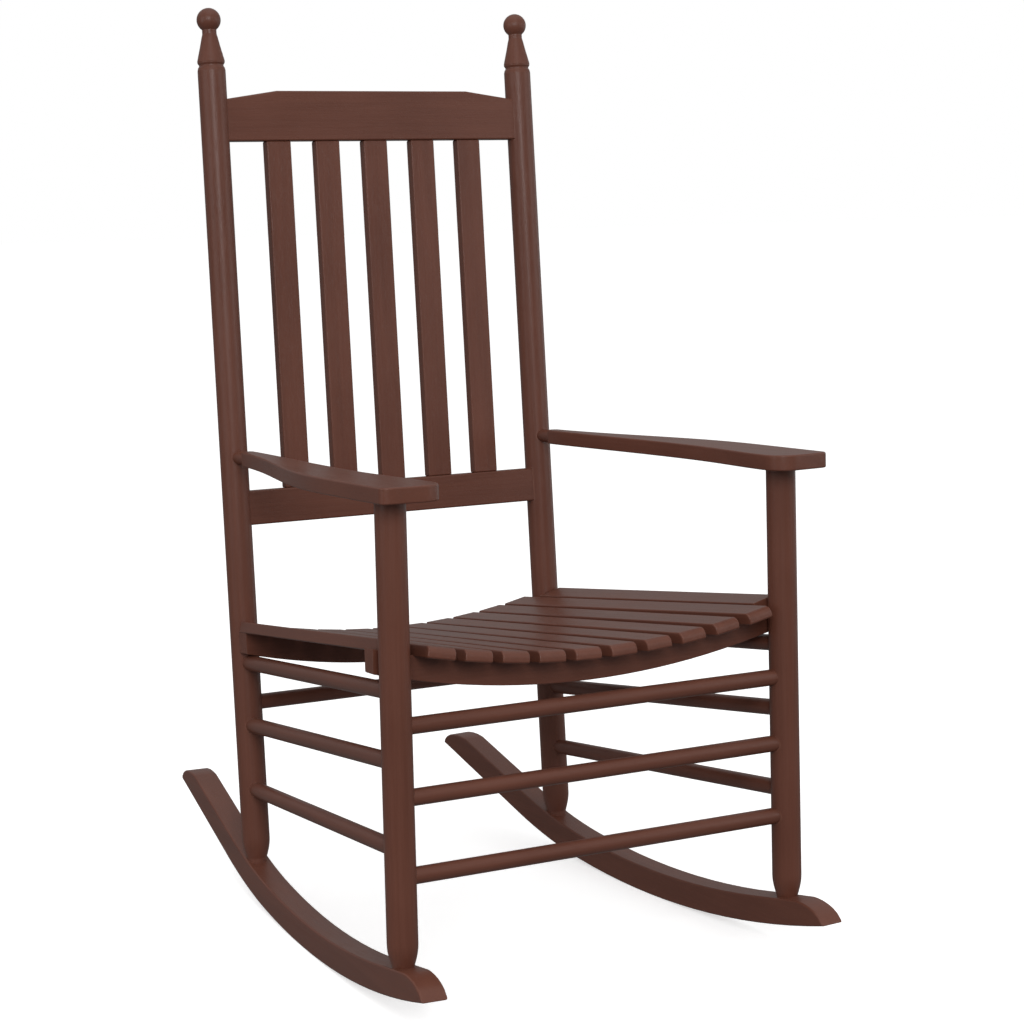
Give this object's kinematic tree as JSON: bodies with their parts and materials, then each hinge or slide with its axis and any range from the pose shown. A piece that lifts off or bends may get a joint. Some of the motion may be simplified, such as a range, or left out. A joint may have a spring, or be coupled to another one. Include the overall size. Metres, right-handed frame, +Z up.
{
  "type": "rocking chair",
  "caption": "Wooden rocking chair with turned posts and ball finials, slatted back, dished slatted seat, flat paddle armrests, round rungs and two curved rockers.",
  "frame": {"origin": "on the floor, in the middle plane, below the middle of the chair's overall depth from rocker tip to rocker tail", "axes": "+Z up, -Y the way the sitter faces, +X to the sitter's left"},
  "size_m": [0.6182, 0.8666, 1.1799],
  "materials": {
    "screw_steel": "zinc-plated steel",
    "painted_wood_aprons": "satin dark brown paint on solid wood",
    "painted_wood_arms": "satin dark brown paint on solid wood",
    "painted_wood_back": "satin dark brown paint on solid wood",
    "painted_wood_posts": "satin dark brown paint on solid wood",
    "painted_wood_rockers": "satin dark brown paint on solid wood",
    "painted_wood_rungs": "satin dark brown paint on solid wood",
    "painted_wood_seat": "satin dark brown paint on solid wood"
  },
  "bodies": {
    "root": {"apron_screws": "screw_steel", "arm_screws": "screw_steel", "armrest_left": "painted_wood_arms", "armrest_right": "painted_wood_arms", "back_post_left": "painted_wood_posts", "back_post_right": "painted_wood_posts", "back_slat_1": "painted_wood_back", "back_slat_2": "painted_wood_back", "back_slat_3": "painted_wood_back", "back_slat_4": "painted_wood_back", "back_slat_5": "painted_wood_back", "crest_rail": "painted_wood_back", "front_post_left": "painted_wood_posts", "front_post_right": "painted_wood_posts", "front_rung_1": "painted_wood_rungs", "front_rung_2": "painted_wood_rungs", "front_rung_3": "painted_wood_rungs", "lower_back_rail": "painted_wood_back", "rear_rung": "painted_wood_rungs", "rocker_left": "painted_wood_rockers", "rocker_right": "painted_wood_rockers", "rocker_screws": "screw_steel", "seat_apron_front": "painted_wood_aprons", "seat_apron_rear": "painted_wood_aprons", "seat_slat_1": "painted_wood_seat", "seat_slat_10": "painted_wood_seat", "seat_slat_11": "painted_wood_seat", "seat_slat_12": "painted_wood_seat", "seat_slat_2": "painted_wood_seat", "seat_slat_3": "painted_wood_seat", "seat_slat_4": "painted_wood_seat", "seat_slat_5": "painted_wood_seat", "seat_slat_6": "painted_wood_seat", "seat_slat_7": "painted_wood_seat", "seat_slat_8": "painted_wood_seat", "seat_slat_9": "painted_wood_seat", "seat_slat_screws": "screw_steel", "side_rung_left_1": "painted_wood_rungs", "side_rung_left_2": "painted_wood_rungs", "side_rung_left_3": "painted_wood_rungs", "side_rung_right_1": "painted_wood_rungs", "side_rung_right_2": "painted_wood_rungs", "side_rung_right_3": "painted_wood_rungs"}
  },
  "joints": []
}
